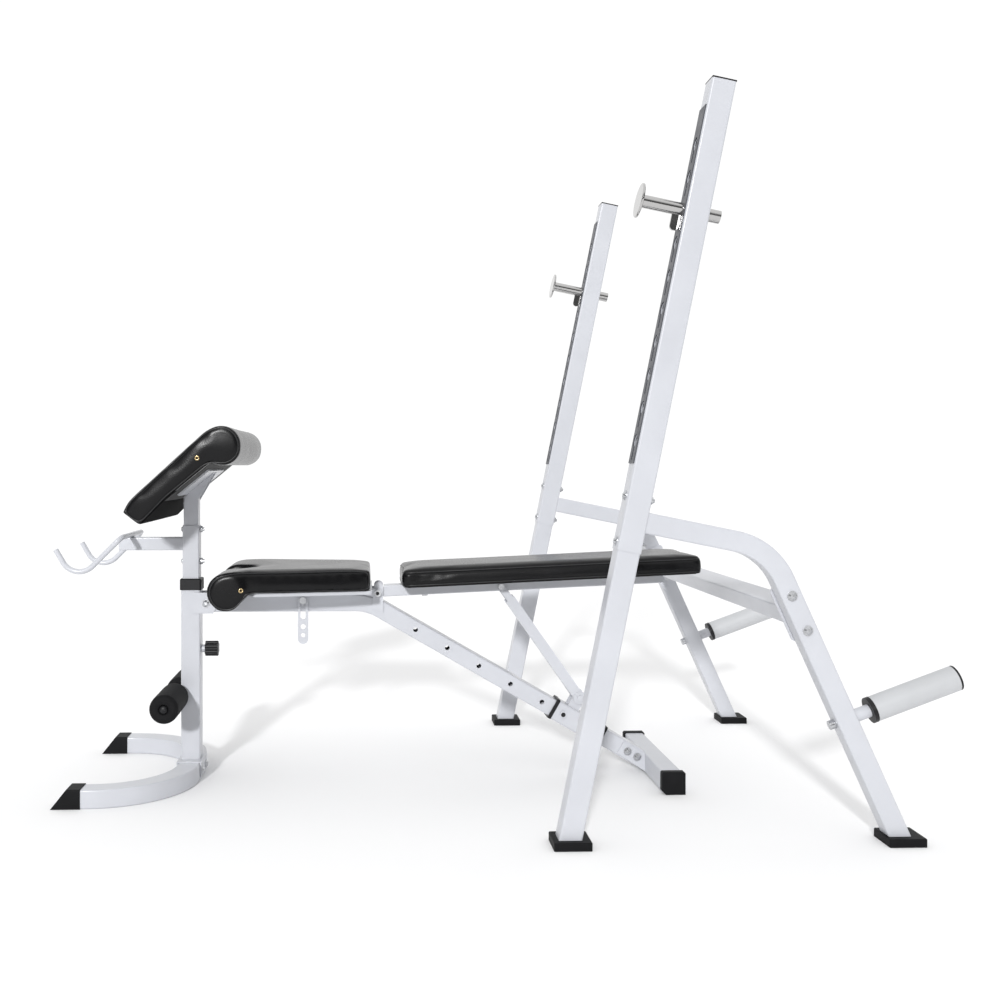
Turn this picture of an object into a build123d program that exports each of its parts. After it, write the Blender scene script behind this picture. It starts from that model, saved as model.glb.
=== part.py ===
from build123d import *
import os
from math import cos, radians, sin

# Olympic bench press: a free-standing barbell rack and a free-standing bench that stands in it.
# X runs from the bench's foot end (-) to the rack (+), Y across, Z up, in millimetres.
# The layout is drawn with X = 0 under the rack's front feet, and moved to its middle at the end.

# ---- rack ----
RACK_HALF_WIDTH = 512.0      # centre plane of one side frame
LEAN = 11.5                  # lean of the uprights, degrees
UPRIGHT_BASE_X = -13.0       # where the upright's axis meets the floor
UPPER_SIZE = 47.0
UPPER_WALL = 1.4
LOWER_SIZE = 44.0
TUBE_WALL = 2.0
UPPER_START = 568.5          # distances along the leaning axis
UPPER_END = 1477.0
LOWER_END = 690.0
UPRIGHT_BOLTS = (584.0, 672.0)
PEG_HEIGHT = 1226.0
KEYHOLE_PITCH = 64.0
KEYHOLES_BELOW = 7
KEYHOLES_ABOVE = 2
STRIP_START = 734.0
STRIP_END = 1425.0
STRIP_WIDTH = 40.0
STRIP_THICK = 2.0
PEG_RADIUS = 12.5
PEG_FIT = 0.06
PEG_FRONT = -106.0
PEG_BACK = 48.0
PEG_DISC_RADIUS = 33.0
LEG_SIZE = 40.0
LEG_JOIN = 628.4             # height of the rear leg's weld, along the upright
LEG_RUN = 240.0              # from the weld to the bend's corner
LEG_SPLAY = 24.4             # of the leg from vertical, degrees
LEG_BEND = 130.0
FOOT_PAD = 72.0
FOOT_PAD_HEIGHT = 16.0
REAR_FOOT_X = 621.0
CROSS_TUBE_Z = 440.0
CROSS_PLATE = 4.0
CROSS_BOLT_SPACING = 72.0
STORAGE_Z = 234.0
STORAGE_TILT = 20.0
STORAGE_RADIUS = 24.5
STORAGE_START = 50.0
STORAGE_END = 231.0

# ---- bench ----
POST_X = -800.0
OUTER_POST = 44.0
OUTER_WALL = 2.4
INNER_POST = 38.0
PREACHER_POST = 33.6
FOOT_WIDTH = 50.0
FOOT_HEIGHT = 40.0
FOOT_ARM_Y = 230.0
FOOT_ARM_END = -993.0
FOOT_BEND = 180.0
CAP_TOE = -1055.0
SADDLE = 3.0
OUTER_TOP = 433.0
COLLAR_TOP = 459.0
INNER_BOTTOM = 185.0
INNER_TOP = 581.0
POST_BOLTS = (498.0, 572.0)
KNOB_Z = 295.0
ARM_SIZE = 30.0
ARM_Z = 539.0
ARM_FRONT = -966.0
HOOK_RADIUS = 6.0
HOOK_HALF = 115.0
ROLLER_X = -834.0
ROLLER_Z = 190.0
ROLLER_RADIUS = 32.0
ROD_RADIUS = 8.0
BEAM_WIDTH = 44.0
BEAM_HEIGHT = 40.0
BEAM_Z = 402.0
BEAM_CORNER_X = -390.0
BEAM_SLOPE = 30.0
BEAM_BEND = 120.0
REAR_TUBE = 45.0
REAR_TUBE_X = 277.0
REAR_HALF = 178.0
REAR_CAP = 50.0
PLATE = 4.0
HINGE_X = -369.0
HINGE_Z = 425.0
PIN_RADIUS = 5.0
RUNNING_FIT = 0.06
GAP = 0.5                    # between pieces that move past each other
BACK_INCLINE = 2.6
BACK_TUBE_WIDTH = 40.0
BACK_START = 54.0
BACK_END = 738.0
BACK_HALF = 115.0
STRUT_ALONG = 288.0
SLIDER_AT = 236.0            # slider's middle along the sloping beam from its reference point
SLIDER_PIVOT_AT = 212.0
SLIDER_PIVOT_HEIGHT = 52.0
SLIDER_LENGTH = 120.0
SLIDER_PIN_RADIUS = 4.0
STRUT_SLACK = 8.0            # room round the slider's pin in the strut's lower end
STRUT_END_RADIUS = 15.5
SEAT_REAR_X = -384.0
SEAT_FRONT_X = -700.0
SEAT_FRONT_HALF = 188.0
SEAT_REAR_HALF = 134.0
SEAT_BOTTOM = 440.0
SEAT_TOP = 488.0
SEAT_ROLL_RADIUS = 42.5
SEAT_PLATE_X = -541.0
STUD_Z = 409.0
PREACHER_HALF = 235.0
PREACHER_LOW = (-868.0, 609.0)
PREACHER_SLOPE = 39.6

SIDES = {"right": -1, "left": 1}
nodes = {}


def save(name, shape):
    """Keep a finished piece, or a list of equal pieces, under its node name."""
    nodes[name] = shape if isinstance(shape, list) else [shape]


def bar(x0, x1, y0, y1, z0, z1):
    """A box between two corners."""
    return Pos((x0 + x1) / 2, (y0 + y1) / 2, (z0 + z1) / 2) * Box(x1 - x0, y1 - y0, z1 - z0)


def rod(start, end, radius):
    """A round bar from one point to another."""
    path = Vector(*end) - Vector(*start)
    plane = Plane(origin=start, z_dir=path)
    return extrude(plane * Circle(radius), path.length)


def tube_section(width, height, wall, corner=4.0):
    """A square tube's section with rounded corners."""
    outer = RectangleRounded(width, height, corner)
    return outer - RectangleRounded(width - 2 * wall, height - 2 * wall, max(corner - wall, 0.5))


def bolt(start, end, radius=4.0, head=7.5, dome=4.0):
    """A bolt with a washer and a domed head at its start, and a nut past its end."""
    path = Vector(*end) - Vector(*start)
    plane = Plane(origin=start, z_dir=path)
    length = path.length
    profile = make_face(Polyline(
        (0, -1.5 - dome), (head * 0.55, -1.3 - dome), (head, -1.5), (head + 2, -1.5), (head + 2, 0), (radius, 0),
        (radius, length), (head, length), (head, length + 6), (radius, length + 6), (radius, length + 10),
        (0, length + 10), close=True))
    return plane.location * revolve(Plane.XZ * profile, Axis.Z)


def hole(start, end, radius, reach=20.0):
    """The cutter for a hole along a line, long enough to pass both ends."""
    way = (Vector(*end) - Vector(*start)).normalized()
    first = Vector(*start) - way * reach
    last = Vector(*end) + way * reach
    return rod(tuple(first), tuple(last), radius)


def prism(points, y0, y1, corner=0.0):
    """An outline in the XZ plane, given as X,Z points, between two Y planes."""
    face = make_face(Polyline(*points, close=True))
    if corner:
        face = fillet(face.vertices(), corner)
    return Pos(0, y1, 0) * extrude(Plane.XZ * face, y1 - y0)


# =============================== rack ===============================
lean_along = Vector(sin(radians(LEAN)), 0, cos(radians(LEAN)))
lean_back = Vector(cos(radians(LEAN)), 0, -sin(radians(LEAN)))
leg_down = Vector(sin(radians(LEG_SPLAY)), 0, -cos(radians(LEG_SPLAY)))
keyhole_heights = [PEG_HEIGHT + KEYHOLE_PITCH * k for k in range(-KEYHOLES_BELOW, KEYHOLES_ABOVE + 1)]


def upright_plane(y):
    """The leaning frame of one upright: x to the rear, y across, z up along the tube."""
    return Plane(origin=(UPRIGHT_BASE_X, y, 0), x_dir=lean_back, z_dir=lean_along)


def lean_point(back, along, y):
    """A point of the leaning frame in the layout."""
    return Vector(UPRIGHT_BASE_X, y, 0) + lean_back * back + lean_along * along


def leg_point(z, y):
    """The rear leg's centre line at a height."""
    corner = lean_point(UPPER_SIZE / 2 + LEG_RUN, LEG_JOIN, y)
    return corner + leg_down * ((corner.Z - z) / -leg_down.Z)


def keyhole_cutters(front, back):
    """Round holes, each with a slot below, as one cutter in the leaning frame."""
    cutters = []
    for height in keyhole_heights:
        cutters.append(Pos((front + back) / 2, 0, height) * Rot(0, 90, 0)
                       * Cylinder(PEG_RADIUS + PEG_FIT, back - front))
        cutters.append(Pos((front + back) / 2, 0, height - 22) * Box(back - front, 9, 32))
    return cutters


front_feet, rear_feet = [], []


def build_side(side, sign):
    y = sign * RACK_HALF_WIDTH
    plane = upright_plane(y).location
    half = UPPER_SIZE / 2

    # Front-to-back bolts through both tubes.
    bolts = [bolt(tuple(lean_point(-half, s, y)), tuple(lean_point(half, s, y))) for s in UPRIGHT_BOLTS]
    bolt_holes = [hole(tuple(lean_point(-half, s, y)), tuple(lean_point(half, s, y)), 4.1)
                  for s in UPRIGHT_BOLTS]

    # Upper upright with its keyholes in front and round holes behind.
    upper = Pos(0, 0, UPPER_START) * extrude(tube_section(UPPER_SIZE, UPPER_SIZE, UPPER_WALL),
                                             UPPER_END - UPPER_START)
    for cutter in keyhole_cutters(-half - 1, -half + UPPER_WALL + 1):
        upper -= cutter
    for height in keyhole_heights:
        upper -= Pos(half, 0, height) * Rot(0, 90, 0) * Cylinder(PEG_RADIUS + PEG_FIT, 3 * UPPER_WALL)
    upper = plane * upper
    for cutter in bolt_holes:
        upper -= cutter
    save(f"upper_upright_{side}", upper)

    # Lower upright, sunk in its foot and pushed up inside the upper one.
    lower = plane * (Pos(0, 0, -40) * extrude(tube_section(LOWER_SIZE, LOWER_SIZE, TUBE_WALL), LOWER_END + 40))
    lower -= bar(-200, 200, y - 100, y + 100, -100, 6)
    for cutter in bolt_holes:
        lower -= cutter
    save(f"lower_upright_{side}", lower)

    # Keyhole strip on the front face.
    strip = bar(-half - STRIP_THICK, -half, -STRIP_WIDTH / 2, STRIP_WIDTH / 2, STRIP_START, STRIP_END)
    for cutter in keyhole_cutters(-half - STRIP_THICK - 1, -half + 0.5):
        strip -= cutter
    save(f"keyhole_strip_{side}", plane * strip)

    # Bent rear leg.
    start = lean_point(half, LEG_JOIN, y)
    corner = lean_point(half + LEG_RUN, LEG_JOIN, y)
    end = leg_point(-30, y)
    path = FilletPolyline(tuple(start), tuple(corner), tuple(end), radius=LEG_BEND)
    section = Plane(origin=start, x_dir=(0, 1, 0), z_dir=lean_back) * tube_section(LEG_SIZE, LEG_SIZE, TUBE_WALL)
    leg = sweep(section, path)
    leg -= bar(400, 900, y - 100, y + 100, -100, 6)
    cross_centre = leg_point(CROSS_TUBE_Z, y)
    leg_bolts = []
    for step in (-0.5, 0.5):
        at = cross_centre + leg_down * (step * CROSS_BOLT_SPACING)
        outer = (at.X, y + sign * LEG_SIZE / 2, at.Z)
        inner = (at.X, y - sign * (LEG_SIZE / 2 + CROSS_PLATE), at.Z)
        leg_bolts.append(bolt(outer, inner, head=8.0))
        leg -= hole(outer, inner, 4.1)

    # Storage peg: a bolt with its head on the leg's front, and a core that carries the sleeve.
    across = Vector(cos(radians(STORAGE_TILT)), 0, sin(radians(STORAGE_TILT)))
    centre = leg_point(STORAGE_Z, y)
    leg_solid = sweep(Plane(origin=start, x_dir=(0, 1, 0), z_dir=lean_back) * Rectangle(LEG_SIZE, LEG_SIZE), path)

    def on_peg(distance):
        return tuple(centre + across * distance)

    head = rod(on_peg(-32), on_peg(-12), 9) - leg_solid
    shank = rod(on_peg(-20), on_peg(30), 6)
    leg -= rod(on_peg(-60), on_peg(60), 6.1)
    core = rod(on_peg(15), on_peg(STORAGE_START + 2), 12.5) - leg_solid
    core += rod(on_peg(STORAGE_START), on_peg(STORAGE_END - 4), 12.5)
    core += shank
    core = core.solids().sort_by(SortBy.VOLUME)[-1]
    storage_bolt = (head + shank).solids().sort_by(SortBy.VOLUME)[-1] - core
    sleeve = rod(on_peg(STORAGE_START + 8), on_peg(STORAGE_END - 4), STORAGE_RADIUS)
    sleeve -= rod(on_peg(STORAGE_START), on_peg(STORAGE_END), 12.6)
    ring = rod(on_peg(STORAGE_START), on_peg(STORAGE_START + 8), STORAGE_RADIUS + 0.5)
    ring -= rod(on_peg(STORAGE_START - 5), on_peg(STORAGE_START + 20), 12.6)
    cap = rod(on_peg(STORAGE_END - 4), on_peg(STORAGE_END), STORAGE_RADIUS)
    save(f"rear_leg_{side}", leg)
    save(f"storage_core_{side}", core)
    save(f"storage_sleeve_{side}", sleeve)

    # Rubber feet, with sockets for the tube ends.
    lower_solid = plane * (Pos(0, 0, 200) * Box(LOWER_SIZE, LOWER_SIZE, 600))
    lower_solid -= bar(-200, 200, y - 100, y + 100, -300, 6)
    for group, x, filler in ((front_feet, UPRIGHT_BASE_X + 6, lower_solid),
                             (rear_feet, REAR_FOOT_X + 7, leg_solid)):
        foot = Pos(x, y, FOOT_PAD_HEIGHT / 2) * Box(FOOT_PAD, FOOT_PAD, FOOT_PAD_HEIGHT)
        foot = fillet(foot.edges().filter_by(Axis.Z), 3)
        foot = chamfer(foot.edges().group_by(Axis.Z)[-1], 1.5)
        pocket = filler & bar(x - 100, x + 100, y - 100, y + 100, 6, 60)
        group.append(foot - pocket)

    # Plate that joins the cross tube to the leg.
    plate_y = y - sign * (LEG_SIZE / 2 + CROSS_PLATE / 2)
    plate_plane = Plane(origin=(cross_centre.X, plate_y, cross_centre.Z), x_dir=-leg_down, z_dir=(0, 1, 0))
    plate = extrude(plate_plane * RectangleRounded(112, 48, 8), CROSS_PLATE / 2, both=True)
    for at in leg_bolts:
        centre_of_bolt = at.center()
        plate -= hole((centre_of_bolt.X, plate_y - 5, centre_of_bolt.Z),
                      (centre_of_bolt.X, plate_y + 5, centre_of_bolt.Z), 4.1)
    return bolts, leg_bolts, storage_bolt, [ring, cap], plate


upright_bolts, cross_bolts, storage_bolts, storage_ends, cross_plates = [], [], [], [], []
for side, sign in SIDES.items():
    bolts, leg_bolts, storage_bolt, ends, plate = build_side(side, sign)
    upright_bolts += bolts
    cross_bolts += leg_bolts
    storage_bolts.append(storage_bolt)
    storage_ends += ends
    cross_plates.append(plate)
save("rack_front_feet", front_feet)
save("rack_rear_feet", rear_feet)
save("upright_bolts", upright_bolts)
save("cross_tube_bolts", cross_bolts)
save("storage_bolts", storage_bolts)
save("storage_sleeve_ends", storage_ends)
save("cross_tube_plates", cross_plates)
save("upright_caps", [upright_plane(sign * RACK_HALF_WIDTH).location
                      * (Pos(0, 0, UPPER_END + 1.5) * Box(UPPER_SIZE, UPPER_SIZE, 3)) for sign in SIDES.values()])

cross_half = RACK_HALF_WIDTH - LEG_SIZE / 2 - CROSS_PLATE
cross_start = leg_point(CROSS_TUBE_Z, -cross_half)
cross_plane = Plane(origin=cross_start, x_dir=leg_down, z_dir=(0, 1, 0))
save("rear_cross_tube", extrude(cross_plane * tube_section(LEG_SIZE, LEG_SIZE, TUBE_WALL), 2 * cross_half))


def build_peg(sign):
    """A chrome bar that carries the barbell, with a disc in front and a tongue that hooks in a keyhole."""
    plane = upright_plane(sign * RACK_HALF_WIDTH).location
    half = UPPER_SIZE / 2
    peg_length = PEG_BACK - PEG_FRONT
    peg = Pos((PEG_FRONT + PEG_BACK) / 2, 0, PEG_HEIGHT) * Rot(0, 90, 0) * Cylinder(PEG_RADIUS, peg_length)
    disc = Pos(PEG_FRONT - 2.5, 0, PEG_HEIGHT) * Rot(0, 90, 0) * Cylinder(PEG_DISC_RADIUS, 5)
    disc = fillet(disc.edges(), 2)
    face = -half - STRIP_THICK - GAP
    tongue = bar(face - 17, face, -3, 3, PEG_HEIGHT - 34, PEG_HEIGHT)
    tongue += Pos(face - 8.5, 0, PEG_HEIGHT - 34) * Rot(90, 0, 0) * Cylinder(8.5, 6)
    tongue += bar(face - 2, -half - 0.5, -3, 3, PEG_HEIGHT - 32, PEG_HEIGHT - 24)
    return plane * (peg + disc + tongue)


for side, sign in SIDES.items():
    save(f"bar_peg_{side}", build_peg(sign))

# =============================== bench: feet and post ===============================
foot_path = FilletPolyline(
    (FOOT_ARM_END, -FOOT_ARM_Y, FOOT_HEIGHT / 2), (POST_X, -FOOT_ARM_Y, FOOT_HEIGHT / 2),
    (POST_X, FOOT_ARM_Y, FOOT_HEIGHT / 2), (FOOT_ARM_END, FOOT_ARM_Y, FOOT_HEIGHT / 2), radius=FOOT_BEND)
foot_plane = Plane(origin=foot_path @ 0, x_dir=(0, 1, 0), z_dir=(1, 0, 0))
front_foot = sweep(foot_plane * tube_section(FOOT_WIDTH, FOOT_HEIGHT, TUBE_WALL), foot_path)

post_half = OUTER_POST / 2
saddle_half = FOOT_WIDTH / 2 + SADDLE
saddle_top = FOOT_HEIGHT + SADDLE
foot_bolt_ends = [((POST_X + saddle_half, y, FOOT_HEIGHT / 2), (POST_X - saddle_half, y, FOOT_HEIGHT / 2))
                  for y in (-30, 30)]
saddle = bar(POST_X - saddle_half, POST_X + saddle_half, -45, 45, 8, saddle_top)
saddle -= bar(POST_X - FOOT_WIDTH / 2, POST_X + FOOT_WIDTH / 2, -60, 60, -5, FOOT_HEIGHT)
outer_post = Pos(POST_X, 0, saddle_top) * extrude(tube_section(OUTER_POST, OUTER_POST, OUTER_WALL),
                                                  OUTER_TOP - saddle_top)
knob_boss = rod((POST_X + post_half - 1, 0, KNOB_Z), (POST_X + post_half + 9, 0, KNOB_Z), 9)
roller_eye = rod((ROLLER_X, -25, ROLLER_Z), (ROLLER_X, 25, ROLLER_Z), 12)
roller_eye += bar(ROLLER_X, POST_X - post_half + 0.5, -15, 15, ROLLER_Z - 9, ROLLER_Z + 9)
outer_post += saddle + knob_boss + roller_eye
outer_post -= Pos(POST_X, 0, saddle_top + 5) * extrude(
    Rectangle(OUTER_POST - 2 * OUTER_WALL, OUTER_POST - 2 * OUTER_WALL), OUTER_TOP)
outer_post -= rod((ROLLER_X, -60, ROLLER_Z), (ROLLER_X, 60, ROLLER_Z), ROD_RADIUS)
outer_post -= rod((POST_X, 0, KNOB_Z), (POST_X + 60, 0, KNOB_Z), PIN_RADIUS + RUNNING_FIT)
for start, end in foot_bolt_ends:
    outer_post -= hole(start, end, 4.1)
    front_foot -= hole(start, end, 4.1)
save("front_foot", front_foot)
save("foot_bolts", [bolt(start, end) for start, end in foot_bolt_ends])

caps = []
for sign in SIDES.values():
    y = sign * FOOT_ARM_Y
    wide = FOOT_WIDTH / 2 + 1.5
    high = FOOT_HEIGHT + 1.5
    cap = prism([(CAP_TOE, 0), (FOOT_ARM_END, 0), (FOOT_ARM_END, high), (CAP_TOE + 33, high)],
                y - wide, y + wide)
    cap = fillet(cap.edges().filter_by(lambda e: e.center().Z > high - 1 and abs(e.center().Y - y) > 5), 3)
    caps.append(cap)
save("front_foot_caps", caps)

collar_size = OUTER_POST + 5
collar = Pos(POST_X, 0, (OUTER_TOP + COLLAR_TOP) / 2) * Box(collar_size, collar_size, COLLAR_TOP - OUTER_TOP)
collar = fillet(collar.edges().filter_by(Axis.Z), 4)
collar = chamfer(collar.edges().group_by(Axis.Z)[-1], 2)
collar -= Pos(POST_X, 0, OUTER_TOP) * Box(INNER_POST + 0.6, INNER_POST + 0.6, 100)
save("post_collar", collar)

save("roller_rod", rod((ROLLER_X, -172, ROLLER_Z), (ROLLER_X, 172, ROLLER_Z), ROD_RADIUS))
for side, sign in SIDES.items():
    roller = rod((ROLLER_X, sign * 28, ROLLER_Z), (ROLLER_X, sign * 179, ROLLER_Z), ROLLER_RADIUS)
    roller = fillet(roller.edges(), 7)
    roller -= rod((ROLLER_X, sign * 10, ROLLER_Z), (ROLLER_X, sign * 172.5, ROLLER_Z), ROD_RADIUS + RUNNING_FIT)
    save(f"foam_roller_{side}", roller)


def star_knob(x, y, z, way, length, stem):
    """A six-lobed knob on a threaded stem, turned about an axis that leaves its point along way."""
    plane = Plane(origin=(x, y, z), z_dir=way)
    body = Circle(14)
    for turn in range(6):
        body += Rot(0, 0, 60 * turn) * (Pos(12.5, 0) * Circle(5))
    knob = extrude(body, length)
    knob = chamfer(knob.edges().group_by(Axis.Z)[-1], 1.5)
    knob += Pos(0, 0, -stem / 2) * Cylinder(PIN_RADIUS, stem)
    return plane.location * knob


knob_face = POST_X + post_half + 9 + GAP
stem_tip = POST_X + INNER_POST / 2 + GAP
save("lock_knob", star_knob(knob_face, 0, KNOB_Z, (1, 0, 0), 30, knob_face - stem_tip))

# =============================== bench: sliding preacher unit ===============================
inner_wall = (INNER_POST - PREACHER_POST) / 2 - 0.2
inner_post = Pos(POST_X, 0, INNER_BOTTOM) * extrude(tube_section(INNER_POST, INNER_POST, inner_wall, 3.0),
                                                    INNER_TOP - INNER_BOTTOM)
slope = radians(PREACHER_SLOPE)
up_slope = Vector(cos(slope), 0, sin(slope))
off_slope = Vector(-sin(slope), 0, cos(slope))


def on_pad(along, off):
    """X and Z of a point given along and off the preacher pad's underside."""
    point = Vector(PREACHER_LOW[0], 0, PREACHER_LOW[1]) + up_slope * along + off_slope * off
    return (point.X, point.Z)


BRACKET_START = 73.0
BRACKET_END = 160.0
post_top = 760.0
below_bracket = prism([on_pad(-300, -PLATE), on_pad(500, -PLATE), on_pad(500, 400), on_pad(-300, 400)],
                      -300, 300)
preacher_post = Pos(POST_X, 0, 470) * extrude(tube_section(PREACHER_POST, PREACHER_POST, TUBE_WALL, 2.5),
                                              post_top - 470)
preacher_post -= below_bracket
post_bolt_ends = [((POST_X - INNER_POST / 2, 0, z), (POST_X + INNER_POST / 2, 0, z)) for z in POST_BOLTS]
for start, end in post_bolt_ends:
    inner_post -= hole(start, end, 4.1)
    preacher_post -= hole(start, end, 4.1)
save("inner_post", inner_post)
save("preacher_post", preacher_post)
save("post_bolts", [bolt(start, end) for start, end in post_bolt_ends])

arm_end = POST_X - INNER_POST / 2
arm_plane = Plane(origin=(ARM_FRONT + 3, 0, ARM_Z), x_dir=(0, 1, 0), z_dir=(1, 0, 0))
arm = extrude(arm_plane * tube_section(ARM_SIZE, ARM_SIZE, TUBE_WALL, 3.0), arm_end - ARM_FRONT - 3)
arm += bar(ARM_FRONT, ARM_FRONT + 3, -ARM_SIZE / 2, ARM_SIZE / 2, ARM_Z - ARM_SIZE / 2, ARM_Z + ARM_SIZE / 2)
save("curl_arm", arm)

rod_z = ARM_Z + ARM_SIZE / 2 + HOOK_RADIUS
rod_x = ARM_FRONT + 28
hook_fall = 101.0
hook_low = (rod_x - hook_fall, rod_z - hook_fall)
hook_tip = (hook_low[0] - 43.0, hook_low[1] + 74.5)
hook_points = [(hook_tip[0], -HOOK_HALF, hook_tip[1]), (hook_low[0], -HOOK_HALF, hook_low[1]),
               (rod_x, -HOOK_HALF, rod_z)]
hook_points += [(x, -y, z) for x, y, z in reversed(hook_points)]
hook_path = FilletPolyline(*hook_points, radius=[41, 16, 16, 41])
hooks = sweep(Plane(origin=hook_path @ 0, z_dir=hook_path % 0) * Circle(HOOK_RADIUS), hook_path)
save("curl_bar_hooks", hooks)

bracket = prism([on_pad(BRACKET_START, -PLATE), on_pad(BRACKET_END, -PLATE), on_pad(BRACKET_END, 0),
                 on_pad(BRACKET_START, 0)], -130, 130)
cheek_low = (POST_X + PREACHER_POST / 2, 640)
for sign in SIDES.values():
    y = sign * (PREACHER_POST / 2 + PLATE / 2)
    bracket += prism([on_pad(BRACKET_START + 4, -PLATE), on_pad(BRACKET_END - 4, -PLATE), cheek_low,
                      (POST_X - PREACHER_POST / 2, 632)], y - PLATE / 2, y + PLATE / 2)
save("preacher_bracket", bracket)

ROLL_CENTRE = (-703.0, 763.0)
ROLL_RADIUS = 44.0
# The pad's low end wraps down past the board.
slab = make_face(Polyline(on_pad(60, 0), on_pad(-17, -9.5), (-913, 619), (-902, 641), (-850, 688.5),
                          (-767, 765.5), (-734, 796), ROLL_CENTRE, on_pad(195, 0), close=True))
pad_face = slab + Pos(*ROLL_CENTRE) * Circle(ROLL_RADIUS)
pad = Pos(0, PREACHER_HALF, 0) * extrude(Plane.XZ * pad_face, 2 * PREACHER_HALF)
BOARD_THICK = 10.0
board = prism([on_pad(6, 0), on_pad(190, 0), on_pad(190, BOARD_THICK), on_pad(6, BOARD_THICK)],
              -PREACHER_HALF + 30, PREACHER_HALF - 30)
save("preacher_pad", pad - board)
save("preacher_board", board)

# =============================== bench: beam and rear foot ===============================
fall = radians(BEAM_SLOPE)
beam_down = Vector(cos(fall), 0, -sin(fall))
beam_up = Vector(sin(fall), 0, cos(fall))
beam_corner = Vector(BEAM_CORNER_X, 0, BEAM_Z)
beam_start = (POST_X + post_half, 0, BEAM_Z)
beam_path = FilletPolyline(beam_start, tuple(beam_corner), tuple(beam_corner + beam_down * 800),
                           radius=BEAM_BEND)
beam_plane = Plane(origin=beam_start, x_dir=(0, 1, 0), z_dir=(1, 0, 0))
beam = sweep(beam_plane * tube_section(BEAM_WIDTH, BEAM_HEIGHT, TUBE_WALL), beam_path)
rear_front = REAR_TUBE_X - REAR_TUBE / 2
beam -= bar(rear_front, rear_front + 400, -100, 100, -300, 400)
BEAM_REFERENCE = 326.0       # from the bend's corner to where slider positions count from


def on_beam(along, off=0.0, y=0.0):
    """A point along and off the sloping beam's axis."""
    point = beam_corner + beam_down * (BEAM_REFERENCE + along) + beam_up * off
    return (point.X, y, point.Z)


HOLE_PITCH = 85.0
for step in range(5):
    at = -200 + HOLE_PITCH * step
    beam -= rod(on_beam(at, 0, -40), on_beam(at, 0, 40), 5.5)
half_beam = BEAM_WIDTH / 2
for sign in SIDES.values():
    y0, y1 = sorted((sign * half_beam, sign * (half_beam + PLATE)))
    ear = prism([(HINGE_X - 13, 388), (HINGE_X + 13, 380), (HINGE_X + 13, HINGE_Z + 14),
                 (HINGE_X - 8, HINGE_Z + 14)], y0, y1)
    ear += Pos(HINGE_X + 2.5, (y0 + y1) / 2, HINGE_Z + 14) * Rot(90, 0, 0) * Cylinder(10.5, PLATE)
    beam += ear
pin_half = half_beam + 2 * PLATE + 2
beam -= rod((HINGE_X, -60, HINGE_Z), (HINGE_X, 60, HINGE_Z), PIN_RADIUS)

gusset_half = half_beam
gusset_bolt = ((-764, -gusset_half - PLATE, BEAM_Z), (-764, gusset_half + PLATE, BEAM_Z))
stud_start = (SEAT_PLATE_X, -half_beam - PLATE - 4, STUD_Z)
stud = rod(stud_start, (SEAT_PLATE_X, -half_beam + 6, STUD_Z), 4)
stud += rod((SEAT_PLATE_X, stud_start[1] - 5, STUD_Z), stud_start, 8)
beam -= hole(*gusset_bolt, 4.1)
beam -= rod((SEAT_PLATE_X, -60, STUD_Z), (SEAT_PLATE_X, -half_beam + 6, STUD_Z), 4)
save("main_beam", beam)
gussets = []
for sign in SIDES.values():
    y0, y1 = sorted((sign * gusset_half, sign * (gusset_half + PLATE)))
    cheek = prism([(-794, 379), (-748, 379), (-742, 390), (-742, 420), (-750, 427), (-794, 427)], y0, y1)
    gussets.append(cheek - hole(*gusset_bolt, 4.1))
save("beam_gussets", gussets)
save("beam_bolts", [bolt(*gusset_bolt), stud])
hinge_pin = rod((HINGE_X, -pin_half - 1, HINGE_Z), (HINGE_X, pin_half + 1, HINGE_Z), PIN_RADIUS)
for sign in SIDES.values():
    hinge_pin += rod((HINGE_X, sign * (pin_half + 1), HINGE_Z), (HINGE_X, sign * (pin_half + 6), HINGE_Z), 8)
save("hinge_pin", hinge_pin)

rear_z = REAR_CAP / 2
rear_plane = Plane(origin=(REAR_TUBE_X, -REAR_HALF, rear_z), x_dir=(1, 0, 0), z_dir=(0, 1, 0))
rear_foot = extrude(rear_plane * tube_section(REAR_TUBE, REAR_TUBE, TUBE_WALL), 2 * REAR_HALF)
rear_bolt_ends = []
for along in (371.0, 397.0):
    x, _, z = on_beam(along)
    rear_bolt_ends.append(((x, -half_beam - PLATE, z), (x, half_beam + PLATE, z)))
for sign in SIDES.values():
    y0, y1 = sorted((sign * half_beam, sign * (half_beam + PLATE)))
    low_x, _, low_z = on_beam(352, -15)
    high_x, _, high_z = on_beam(352, 15)
    cheek = prism([(low_x, low_z), (high_x, high_z), (rear_front + 1, 47), (rear_front + 1, 6)], y0, y1)
    rear_foot += cheek
for ends in rear_bolt_ends:
    rear_foot -= hole(*ends, 4.1)
save("rear_foot", rear_foot)
beam_with_holes = nodes["main_beam"][0]
for ends in rear_bolt_ends:
    beam_with_holes -= hole(*ends, 4.1)
save("main_beam", beam_with_holes)
save("rear_foot_bolts", [bolt(*ends) for ends in rear_bolt_ends])
caps = []
for sign in SIDES.values():
    y0, y1 = sorted((sign * REAR_HALF, sign * (REAR_HALF + 16)))
    cap = bar(REAR_TUBE_X - REAR_CAP / 2 - 1, REAR_TUBE_X + REAR_CAP / 2 + 1, y0, y1, 0, REAR_CAP)
    cap = chamfer(cap.edges().filter_by(Axis.Y).sort_by(lambda e: e.center().X + e.center().Z)[0], 9)
    cap = chamfer(cap.edges().filter_by(Axis.Y).group_by(Axis.Z)[-1], 3)
    caps.append(cap)
save("rear_foot_caps", caps)

# The outer post is kept after the gusset bolt's holes are known.
outer_post -= hole(*gusset_bolt, 4.1)
save("outer_post", outer_post)

# =============================== seat ===============================

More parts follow.
